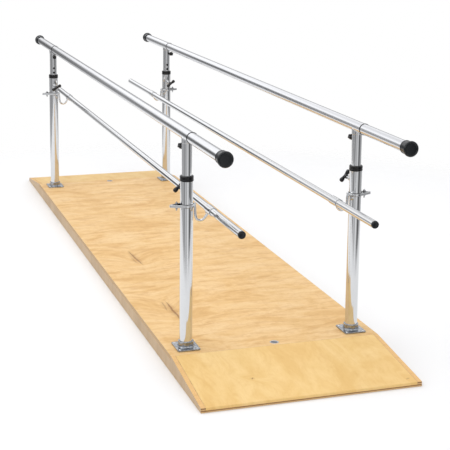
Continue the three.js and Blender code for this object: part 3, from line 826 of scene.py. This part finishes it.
def knob(name, sx, sy):
    d = -sy
    side = name.split("_")[1]
    turn = radians(KNOB_TURN[name])
    p = Piece()
    # screw and shoulder
    prof = rounded([(0, 16.6), (3.0, 16.6, 0.4), (3.0, 19.7), (6.5, 19.7, 0.6), (6.5, 27.0), (7.6, 30.2, 1.5), (8.2, 32.5), (0, 32.5)], 4)
    p.add(lathe(prof, 48), "plastic")
    # five-lobed head with crowned edges and a dished face
    lobes, seg = 5, 120
    a, b = KNOB_START, KNOB_END
    levels = [(0.80, a), (0.90, a + 0.4), (0.965, a + 1.3), (0.995, a + 3.0), (1.0, a + 7.0), (0.995, b - 4.4), (0.965, b - 1.8), (0.90, b - 0.5), (0.82, b)]
    inner = [(0.60, b - 0.4), (0.45, b - 1.0), (0.30, b - 1.1), (0.0, b - 1.1)]
    V, F, rings = [], [], []
    V.append((0, 0, a)); rings.append([0])
    for f, z in levels + inner:
        if f == 0.0:
            V.append((0, 0, z)); rings.append([len(V) - 1])
            continue
        base = len(V)
        for i in range(seg):
            a = 2 * pi * i / seg
            wave = 0.5 + 0.5 * cos(lobes * (a - pi / 2))
            shape = KNOB_R * (0.77 + 0.23 * wave ** 0.55)
            rr = shape * f if f > 0.62 else KNOB_R * f * 0.95
            V.append((rr * cos(a), rr * sin(a), z))
        rings.append(list(range(base, base + seg)))
    for A, B in zip(rings, rings[1:]):
        for i in range(seg):
            j = (i + 1) % seg
            if len(A) == 1:
                F.append((A[0], B[i], B[j]))
            elif len(B) == 1:
                F.append((A[i], B[0], A[j]))
            else:
                F.append((A[i], B[i], B[j], A[j]))
    p.add((V, F), "plastic")
    move = T(sx * POST_X, sy * POST_Y, KNOB_Z) @ Matrix.Rotation(turn, 4, "Z") @ along_y(d)
    p.make(f"rail_knob_{name}", f"rail_knob_{name}", [f"rail_knob_{name}"], "black_plastic", move, 50)


def lock_pin(name, sx, sy):
    d = -sy
    prof = rounded([(0, PIN_TIP), (PIN_R - 1.2, PIN_TIP, 0.4), (PIN_R, PIN_TIP + 1.8, 0.4), (PIN_R, BOSS_END + 6), (PIN_R - 0.7, BOSS_END + 6.6, 0.2),
                    (PIN_R - 0.7, BOSS_END + 8, 0.2), (PIN_R, BOSS_END + 8.6), (PIN_R, PIN_END, 0.5), (0, PIN_END)], 3)
    p = Piece().add(lathe(prof, 48), "chrome_fit", along_y(d))
    p.make(f"lock_pin_{name}", f"lock_pin_{name}", [f"lock_pin_{name}"], "zinc_fitting", T(sx * POST_X, sy * POST_Y, PIN_Z))


def t_handle(name, sx, sy):
    d = -sy
    p = Piece()
    r = PIN_R + 0.35
    hub = rounded([(r, HUB_START), (HUB_R - 1.4, HUB_START, 0.6), (HUB_R, HUB_START + 2.5, 1.2), (HUB_R, HUB_START + 6), (7.6, HANDLE_Y - 7.0, 1.5), (7.0, HANDLE_Y - 2.0), (r, HANDLE_Y - 2.0)], 4)
    p.add(lathe(hub, 48, True), "plastic", along_y(d))
    L = HANDLE_HALF
    prof = [(0, -L), (2.4, -L + 0.2), (5.0, -L + 0.9), (7.1, -L + 2.4), (8.3, -L + 4.8), (8.9, -L + 8.0), (8.9, -L + 11.0), (8.2, -L + 14.5), (7.1, -L + 18.0), (6.2, -L + 21.5), (5.9, -L + 25), (5.9, 0)]
    prof = prof + [(q[0], -q[1]) for q in reversed(prof[:-1])]
    bar = lathe(prof, 48)
    tilt = radians(HANDLE_TILT[name])
    p.add(bar, "plastic", T(0, d * HANDLE_Y, 0) @ Matrix.Rotation(tilt, 4, "Y"))
    prof = rounded([(0, HANDLE_Y + 5.2), (3.4, HANDLE_Y + 5.2), (3.4, HANDLE_Y + 6.7, 0.4), (2.6, HANDLE_Y + 7.2, 0.4), (0, HANDLE_Y + 7.2)], 3)
    p.add(lathe(prof, 24), "plastic", along_y(d))
    p.make(f"t_handle_{name}", f"t_handle_{name}", [f"t_handle_{name}"], "black_plastic", T(sx * POST_X, sy * POST_Y, PIN_Z), 50)


# =============================================================================
# Rails
# =============================================================================
def tee(p, y, sx):
    """Neck below the rail, the stem inside the inner tube, and the weld round the neck."""
    prof = rounded([(16.2 - 2.4, 790 - RAIL_Z), (16.2, 790 - RAIL_Z, 0.8), (16.2, NECK_BOTTOM - RAIL_Z), (NECK_R - 0.6, NECK_BOTTOM - RAIL_Z, 0.2), (NECK_R, NECK_BOTTOM - RAIL_Z + 0.8, 0.4),
                    (NECK_R, -12.0), (18.2, -12.0), (13.8, -20)], 3)
    V, F = lathe(prof, 96, True)
    # the neck's top follows the round of the rail
    out = []
    for x, yy, z in V:
        r = math.hypot(x, yy)
        if z > -12.5 and r > 18:
            z = -math.sqrt(max(RAIL_R ** 2 - x * x, 0.0)) + 1.4
            z = min(z, -3.2)
        out.append((x, yy, z))
    p.add((out, F), "chrome", T(0, y, 0))
    path = []
    for k in range(96):
        a = 2 * pi * k / 96
        x, yy = (NECK_R + 0.15) * cos(a), (NECK_R + 0.15) * sin(a)
        path.append((x, yy, -math.sqrt(max((RAIL_R + 0.15) ** 2 - x * x, 0.3))))
    p.add(sweep(path, 0.9, 8, closed=True), "chrome", T(0, y, 0))


def rails():
    end = RAIL_L / 2 - CAP_FACE_T - 0.3
    near, far = -POST_Y - SEAM, POST_Y - SEAM
    for side, sx in (("left", -1), ("right", 1)):
        body = f"adult_rail_{side}"
        at = T(sx * POST_X, 0, RAIL_Z)
        e = 0.55

        def tube(y0, y1, spigot):
            if spigot:
                prof = [(16.2, y0 - 60), (18.4, y0 - 60, 0.8), (18.4, y0 - 0.05), (RAIL_R - e, y0 - 0.05), (RAIL_R, y0 + e, 0.3)]
            else:
                prof = [(RAIL_BORE_R, y0), (RAIL_R, y0, 0.5)]
            prof += [(RAIL_R, y0 + (y1 - y0) * k / 8) for k in range(1, 8)]
            prof += [(RAIL_R, y1 - e, 0.3), (RAIL_R - e, y1), (RAIL_BORE_R, y1)]
            if spigot:
                prof += [(RAIL_BORE_R, y0 + 30), (16.2, y0 + 27)]
            return lathe(rounded(prof, 3), 96, True)

        p = Piece().add(tube(-end, near - 2.6, False), "rail", along_y(1))
        p.make(f"adult_rail_{side}_near", body, [f"adult_rail_{side}_near"], "chrome_tube", at)
        p = Piece().add(tube(near, far - 2.6, True), "rail", along_y(1))
        # black ring in the seam, set where the joint's gap shows dark: painted shade standing in for the shadow in the
        # gap
        p.add(lathe(rounded([(20.0, near - 3.2), (22.6, near - 3.2, 0.6), (22.6, near + 0.8, 0.6), (20.0, near + 0.8)], 3), 96, True), "plastic", along_y(1))
        tee(p, -POST_Y, sx)
        p.make(f"adult_rail_{side}_mid", body, [f"adult_rail_{side}_mid"], "chrome_tube", at)
        p = Piece().add(tube(far, end, True), "rail", along_y(1))
        # the same black seam ring at the far joint: painted shade for the shadow in the gap
        p.add(lathe(rounded([(20.0, far - 3.2), (22.6, far - 3.2, 0.6), (22.6, far + 0.8, 0.6), (20.0, far + 0.8)], 3), 96, True), "plastic", along_y(1))
        tee(p, POST_Y, sx)
        p.make(f"adult_rail_{side}_far", body, [f"adult_rail_{side}_far"], "chrome_tube", at)

        # end caps: dished face, thick rim, then a sleeve that opens along the tube
        prof = rounded([(0, 2.0), (12.0, 2.2, 3.0), (20.8, 2.6, 0.8), (21.6, 1.2, 0.5), (22.8, 0.15, 0.8), (25.2, 0.0, 1.2), (28.4, 3.4, 3.0), (28.5, 9.0, 2.2), (26.2, 11.4, 1.4),
                        (25.2, 13.0, 1.2), (25.0, 19.0, 6.0), (24.0, 38.5, 0.6), (25.0, 40.4, 0.8), (25.0, 43.6, 1.0), (23.6, 45.0, 0.5), (RAIL_R + 0.25, 45.0, 0.5),
                        (RAIL_R + 0.25, CAP_FACE_T), (0, CAP_FACE_T)], 4)
        for end_name, s in (("near", -1), ("far", 1)):
            Piece().add(lathe(prof, 96), "rubber", T(0, s * RAIL_L / 2, 0) @ along_y(-s)).make(
                f"adult_cap_{side}_{end_name}", body, [f"adult_cap_{side}_{end_name}"], "black_rubber", at)

        # child rail
        body = f"child_rail_{side}"
        at = T(sx * CHILD_X, CHILD_SHIFT, CHILD_Z)
        ce = CHILD_L / 2 - CHILD_CAP_T - 0.3
        prof = rounded([(CHILD_BORE_R, -ce), (CHILD_R, -ce, 0.5)] + [(CHILD_R, -ce + 2 * ce * k / 10) for k in range(1, 10)]
                       + [(CHILD_R, ce, 0.5), (CHILD_BORE_R, ce)], 3)
        Piece().add(lathe(prof, 80, True), "chrome", along_y(1)).make(f"child_rail_{side}", body, [f"child_rail_{side}"], "chrome_tube", at)
        prof = rounded([(0, 0.9), (8.0, 0.9), (9.6, 0.2, 0.8), (11.6, 0.3, 1.0), (13.6, 1.6, 1.2), (14.3, 4.0, 1.2), (14.3, 9.0, 0.6), (12.0, 9.0), (12.0, 13), (11.6, 14.5),
                        (12.0, 16.0), (12.0, 19), (11.4, 20.5), (12.0, 22.0), (12.0, 29, 1.5), (0, 31)], 4)
        for end_name, s in (("near", -1), ("far", 1)):
            Piece().add(lathe(prof, 64), "rubber", T(0, s * CHILD_L / 2, 0) @ along_y(-s)).make(
                f"child_cap_{side}_{end_name}", body, [f"child_cap_{side}_{end_name}"], "black_rubber", at)


def bracket(name, sx, sy):
    """Teardrop clamp strap round the post, bent rod inwards, sleeve on the child rail."""
    side = name.split("_")[1]
    body = f"child_rail_{side}"
    inward = -sx
    p = Piece()
    # strap: outer and inner outlines with the same number of points
    phi = math.acos((STRAP_R - STRAP_TIP_R) / STRAP_TIP_X)
    outer, inner = [], []
    slot_r, slot_x = 1.9, 55.5
    phi_i = math.acos((STRAP_BORE_R - slot_r) / slot_x)
    n1, n2, n3 = 72, 10, 16
    for k in range(n1):
        outer.append((STRAP_R * cos(phi + (2 * pi - 2 * phi) * k / (n1 - 1)), STRAP_R * sin(phi + (2 * pi - 2 * phi) * k / (n1 - 1))))
        inner.append((STRAP_BORE_R * cos(phi_i + (2 * pi - 2 * phi_i) * k / (n1 - 1)), STRAP_BORE_R * sin(phi_i + (2 * pi - 2 * phi_i) * k / (n1 - 1))))
    tip_o = [(STRAP_TIP_X + STRAP_TIP_R * cos(-phi + 2 * phi * k / (n3 - 1)), STRAP_TIP_R * sin(-phi + 2 * phi * k / (n3 - 1))) for k in range(n3)]
    tip_i = [(slot_x + slot_r * cos(-phi_i + 2 * phi_i * k / (n3 - 1)), slot_r * sin(-phi_i + 2 * phi_i * k / (n3 - 1))) for k in range(n3)]
    for lst, tip in ((outer, tip_o), (inner, tip_i)):
        a = Vector(lst[-1]); b = Vector(tip[0])
        lst += [tuple(a.lerp(b, k / n2)) for k in range(1, n2)]
        lst += tip
        a = Vector(tip[-1]); b = Vector(lst[0])
        lst += [tuple(a.lerp(b, k / n2)) for k in range(1, n2)]
    n = len(outer)
    V, F = [], []
    bev = 1.0
    sec = [(0, bev), (0.3, 0.3), (bev, 0), (-bev, 0), (-0.3, 0.3), (0, bev)]
    h = STRAP_Z1 - STRAP_Z0
    for i in range(n):
        o, q = Vector(outer[i]), Vector(inner[i])
        w = (q - o).length
        u = (q - o).normalized()
        ring = []
        for t, z in ((0, bev), (0.3, 0.3), (bev, 0), (w - bev, 0), (w - 0.3, 0.3), (w, bev), (w, h - bev), (w - 0.3, h - 0.3), (w - bev, h), (bev, h), (0.3, h - 0.3), (0, h - bev)):
            c = o + u * t
            ring.append((c.x, c.y, STRAP_Z0 + z))
        V += ring
    m = 12
    for i in range(n):
        j = (i + 1) % n
        for k in range(m):
            F.append((i * m + k, j * m + k, j * m + (k + 1) % m, i * m + (k + 1) % m))
    p.add((V, F), "chrome_fit", Matrix.Rotation(pi if inward > 0 else 0, 4, "Z"))
    # dark band proud of the tube, showing at both edges of the strap: painted shadow lines standing in for the shade
    # gap between strap and tube
    strap_shadow_band = rounded([(OUTER_R + 0.15, STRAP_Z0 - 2.2), (OUTER_R + 1.5, STRAP_Z0 - 2.2, 0.5), (OUTER_R + 1.5, STRAP_Z1 + 1.6, 0.5), (OUTER_R + 0.15, STRAP_Z1 + 1.6)], 3)
    p.add(lathe(strap_shadow_band, 80, True), "plastic")
    # bent rod
    pts = [(31.0, 619), (31.6, 609), (32.4, 600), (33.0, 588), (34.0, 575), (37.5, 563), (44.0, 556), (53.0, 553.6), (62, 555), (69.5, 561), (75.5, 569.5), (80.5, 577.5)]
    path = catmull([(inward * x, 0, z) for x, z in pts], 56)
    p.add(sweep(path, 5.0, 24), "chrome_fit")
    # weld lump between rod and strap
    blob = lathe([(0, -6.5), (3.0, -5.9), (5.0, -3.8), (5.8, 0), (5.0, 3.2), (3.0, 5.0), (0, 5.6)], 24)
    p.add(blob, "chrome_fit", T(inward * 30.4, 0, 614))
    # sleeve with rolled ends
    off = inward * (POST_X - CHILD_X)
    prof = rounded([(SLEEVE_BORE_R, SLEEVE_NEAR), (SLEEVE_R, SLEEVE_NEAR, 0.9), (SLEEVE_R, SLEEVE_FAR, 0.9), (SLEEVE_BORE_R, SLEEVE_FAR, 0.4)], 4)
    p.add(lathe(prof, 80, True), "chrome_fit", T(off, 0, CHILD_Z) @ along_y(1))
    # fillet weld where the rod meets the sleeve
    p.add(lathe([(0, -3), (5.6, -2.0), (6.6, 0), (5.9, 1.6), (5.2, 3.2), (0, 3.4)], 32), "chrome_fit",
          T(off - inward * 11.2, 0, CHILD_Z - 12.8) @ Matrix.Rotation(inward * radians(41), 4, "Y"))
    p.make(f"child_bracket_{name}", body, [f"child_bracket_{name}"], "chrome_tube", T(sx * POST_X, sy * POST_Y, 0), 45)

    # clamp bolt through the ear, and the black grub screw near the sleeve's near end
    b = Piece()
    ear = -inward * 38.5
    prof = rounded([(0, -13.0), (2.6, -13.0, 0.6), (2.9, -12.4), (2.9, -5.2), (3.4, -5.2), (3.4, -5.0), (2.9, -5.0), (2.9, 14.0), (3.6, 14.0), (3.6, 14.4), (2.9, 14.4), (2.9, 19.6), (2.4, 20.2), (0, 20.2)], 2)
    b.add(lathe(prof, 24), "chrome_fit", T(ear, 0, STRAP_Z0))
    hexagon = [(5.6 * cos(radians(60 * k + 12)), 5.6 * sin(radians(60 * k + 12))) for k in range(6)]
    b.add(prism(hexagon, -5.0, -0.15, 0.6, 2), "steel_dark", T(ear, 0, STRAP_Z0))
    b.add(prism(hexagon, 10.15, 16.6, 0.6, 2), "steel_dark", T(ear, 0, STRAP_Z0) @ Matrix.Rotation(0.5, 4, "Z"))
    b.make(f"strap_bolt_{name}", body, (), "zinc_fitting", T(sx * POST_X, sy * POST_Y, 0), 50)
    g = Piece()
    prof = rounded([(0, 14.4), (3.6, 14.4), (3.6, 18.4, 0.5), (2.6, 19.0, 0.4), (2.0, 18.2), (0, 18.2)], 3)
    g.add(lathe(prof, 24), "plastic", T(off, SLEEVE_NEAR + 8, CHILD_Z) @ Matrix.Rotation(-inward * radians(62), 4, "Y"))
    g.make(f"sleeve_screw_{name}", body, (), "black_plastic", T(sx * POST_X, sy * POST_Y, 0), 50)


platform()
for corner, sx, sy in CORNERS:
    flange(corner, sx, sy)
    outer_tube(corner, sx, sy)
    collar(corner, sx, sy)
    inner_tube(corner, sx, sy)
    knob(corner, sx, sy)
    lock_pin(corner, sx, sy)
    t_handle(corner, sx, sy)
    bracket(corner, sx, sy)
rails()

# every CAD node that is still shown gets a finished material too
BY_SLOT = {"deck_ply": "deck", "ramp_ply": "ramp", "edge_ply": "board_face", "batten_pine": "pine", "chrome_tube": "chrome",
           "zinc_fitting": "zinc", "black_rubber": "rubber", "black_plastic": "plastic"}
slot_of = {s["node"]: s["material_slot"] for s in frame["record"]["subparts"]}
for n, o in frame["nodes"].items():
    key = BY_SLOT[slot_of[n]]
    if o.material_slots:
        for s in o.material_slots:
            s.material = M[key]
    else:
        o.data.materials.append(M[key])


# =============================================================================
# Floor, light and camera
# =============================================================================
def floor():
    """A pale disc whose rim fades out, so no edge shows."""
    n = Nodes("studio_floor")
    n.set(Base_Color=(FLOOR, FLOOR, FLOOR, 1), Roughness=0.9, Specular_IOR_Level=0.1)
    x, y, z = n.xyz()
    r = n.math("SQRT", n.math("ADD", n.math("MULTIPLY", x, x), n.math("MULTIPLY", y, y)))
    n.set(Alpha=n.rng(r, 2.25, 2.95, 1.0, 0.0, True))
    me = bpy.data.meshes.new("floor")
    R, seg = 3.0, 128
    V = [(0, 0, -0.0004)] + [(R * cos(2 * pi * i / seg), R * sin(2 * pi * i / seg), -0.0004) for i in range(seg)]
    me.from_pydata(V, [], [(0, i + 1, (i + 1) % seg + 1) for i in range(seg)])
    me.materials.append(n.mat)
    o = bpy.data.objects.new("floor", me)
    bpy.context.scene.collection.objects.link(o)


def world():
    """White behind everything; what the plating reflects is a studio with a dim far wall and dark gaps between the lights."""
    w = bpy.data.worlds.new("studio")
    bpy.context.scene.world = w
    w.use_nodes = True
    t = w.node_tree
    t.nodes.clear()
    out = t.nodes.new("ShaderNodeOutputWorld")
    mix = t.nodes.new("ShaderNodeMixShader")
    path = t.nodes.new("ShaderNodeLightPath")
    plain = t.nodes.new("ShaderNodeBackground")
    plain.inputs[0].default_value = (1, 1, 1, 1)
    plain.inputs[1].default_value = 1.0
    env = t.nodes.new("ShaderNodeBackground")
    env.inputs[1].default_value = 1.0
    tc = t.nodes.new("ShaderNodeTexCoord")
    sep = t.nodes.new("ShaderNodeSeparateXYZ")
    t.links.new(tc.outputs["Generated"], sep.inputs[0])

    def m(op, a, b=None, c=None):
        n = t.nodes.new("ShaderNodeMath")
        n.operation = op
        for i, v in enumerate((a, b, c)):
            if v is None:
                continue
            if isinstance(v, bpy.types.NodeSocket):
                t.links.new(v, n.inputs[i])
            else:
                n.inputs[i].default_value = v
        return n.outputs[0]

    def ramp(v, stops):
        n = t.nodes.new("ShaderNodeValToRGB")
        el = n.color_ramp.elements
        while len(el) < len(stops):
            el.new(0.5)
        for e, (p, g) in zip(el, stops):
            e.position = p
            e.color = tuple(g) + (1,) if isinstance(g, tuple) else (g, g, g * 1.015, 1)
        t.links.new(v, n.inputs[0])
        return n.outputs[0]

    def smooth(v, a, b):
        n = t.nodes.new("ShaderNodeMapRange")
        n.interpolation_type = "SMOOTHSTEP"
        t.links.new(v, n.inputs["Value"])
        n.inputs["From Min"].default_value = a
        n.inputs["From Max"].default_value = b
        return n.outputs[0]

    def blend(f, a, b):
        n = t.nodes.new("ShaderNodeMix")
        n.data_type = "RGBA"
        t.links.new(f, n.inputs[0])
        t.links.new(a, n.inputs[6])
        t.links.new(b, n.inputs[7])
        return n.outputs[2]

    up = sep.outputs[2]
    # azimuth as a share of a turn: 0 and 1 at -Y, then +X at 0.25, +Y at 0.5, -X at 0.75
    az = m("FRACT", m("ADD", m("DIVIDE", m("ARCTAN2", sep.outputs[0], m("MULTIPLY", sep.outputs[1], -1.0)), 2 * pi), 1.0))
    low = ramp(az, AZ_LOW)
    band = ramp(az, AZ_BAND)
    high = ramp(m("MULTIPLY_ADD", up, 0.5, 0.5), HIGH)
    # to the right of +Y the dim wall stands higher
    lift = m("MULTIPLY", smooth(az, 0.486, 0.468), smooth(az, 0.25, 0.36))
    up_h = m("MULTIPLY_ADD", lift, -0.10, up)
    c = blend(smooth(up, -0.30, -0.10), low, band)
    c = blend(smooth(up_h, 0.06, 0.28), c, high)
    t.links.new(c, env.inputs[0])
    t.links.new(path.outputs["Is Camera Ray"], mix.inputs[0])
    t.links.new(env.outputs[0], mix.inputs[1])
    t.links.new(plain.outputs[0], mix.inputs[2])
    t.links.new(mix.outputs[0], out.inputs[0])


def area(name, loc, target, size, power, size_y=None):
    l = bpy.data.lights.new(name, "AREA")
    l.energy = power
    l.shape = "RECTANGLE"
    l.size = size
    l.size_y = size_y or size
    o = bpy.data.objects.new(name, l)
    bpy.context.scene.collection.objects.link(o)
    o.location = loc
    o.rotation_euler = (Vector(target) - Vector(loc)).to_track_quat("-Z", "Y").to_euler()
    return o


FLOOR = 0.88
# luminance round the room below the horizon, at it, and above it
AZ_LOW = ((0.0, 1.15), (0.03, 0.85), (0.06, 0.58), (0.10, 0.10), (0.132, 0.09), (0.17, 0.42), (0.22, 0.46), (0.31, 0.55), (0.40, 0.62), (0.46, 0.90),
          (0.54, 1.00), (0.62, 0.55), (0.70, 0.42), (0.765, 0.62), (0.815, 0.50), (0.838, 0.14), (0.862, 0.45), (0.893, 0.78), (0.93, 0.50), (0.97, 0.58), (1.0, 1.15))
AZ_BAND = ((0.0, 0.60), (0.05, 0.62), (0.10, 0.10), (0.14, 0.08), (0.19, 0.40), (0.28, 0.55), (0.38, 0.50), (0.462, 0.50), (0.49, 0.13),
           (0.515, 0.085), (0.534, 0.10), (0.539, 0.42), (0.546, 0.45), (0.5505, 0.12), (0.562, 0.10), (0.570, 0.42), (0.62, 0.50), (0.70, 0.34),
           (0.76, 0.50), (0.838, 0.14), (0.862, 0.40), (0.90, 0.62), (0.95, 0.50), (1.0, 0.60))
HIGH = ((0.0, 0.5), (0.58, 1.42), (0.66, 1.36), (0.76, 0.85), (1.0, 0.75))
floor()
world()
area("key", (-1.2, -0.2, 4.8), (0.0, 0.0, 0.0), 4.4, 135, 6.0)


def camera(f=1206.62, cy=135.0, C=(-1.56020, -5.51911, 1.70566), yaw=-0.31849, pitch=0.18882, roll=0.01166):
    cam = bpy.data.cameras.new("camera")
    o = bpy.data.objects.new("camera", cam)
    bpy.context.scene.collection.objects.link(o)
    fwd = Vector((-sin(yaw) * cos(pitch), cos(yaw) * cos(pitch), -sin(pitch)))
    right = Vector((cos(yaw), sin(yaw), 0))
    up = right.cross(fwd)
    R = right * cos(roll) + up * sin(roll)
    U = -right * sin(roll) + up * cos(roll)
    m = Matrix((( R.x, U.x, -fwd.x, C[0]), (R.y, U.y, -fwd.y, C[1]), (R.z, U.z, -fwd.z, C[2]), (0, 0, 0, 1)))
    o.matrix_world = m
    cam.sensor_width = 36.0
    cam.lens = f / 450.0 * 36.0
    cam.shift_y = (cy - 225.0) / 450.0
    cam.clip_start, cam.clip_end = 0.05, 200.0
    bpy.context.scene.camera = o


camera()
bpy.context.scene.view_settings.view_transform = "Standard"
bpy.context.scene.view_settings.look = "None"
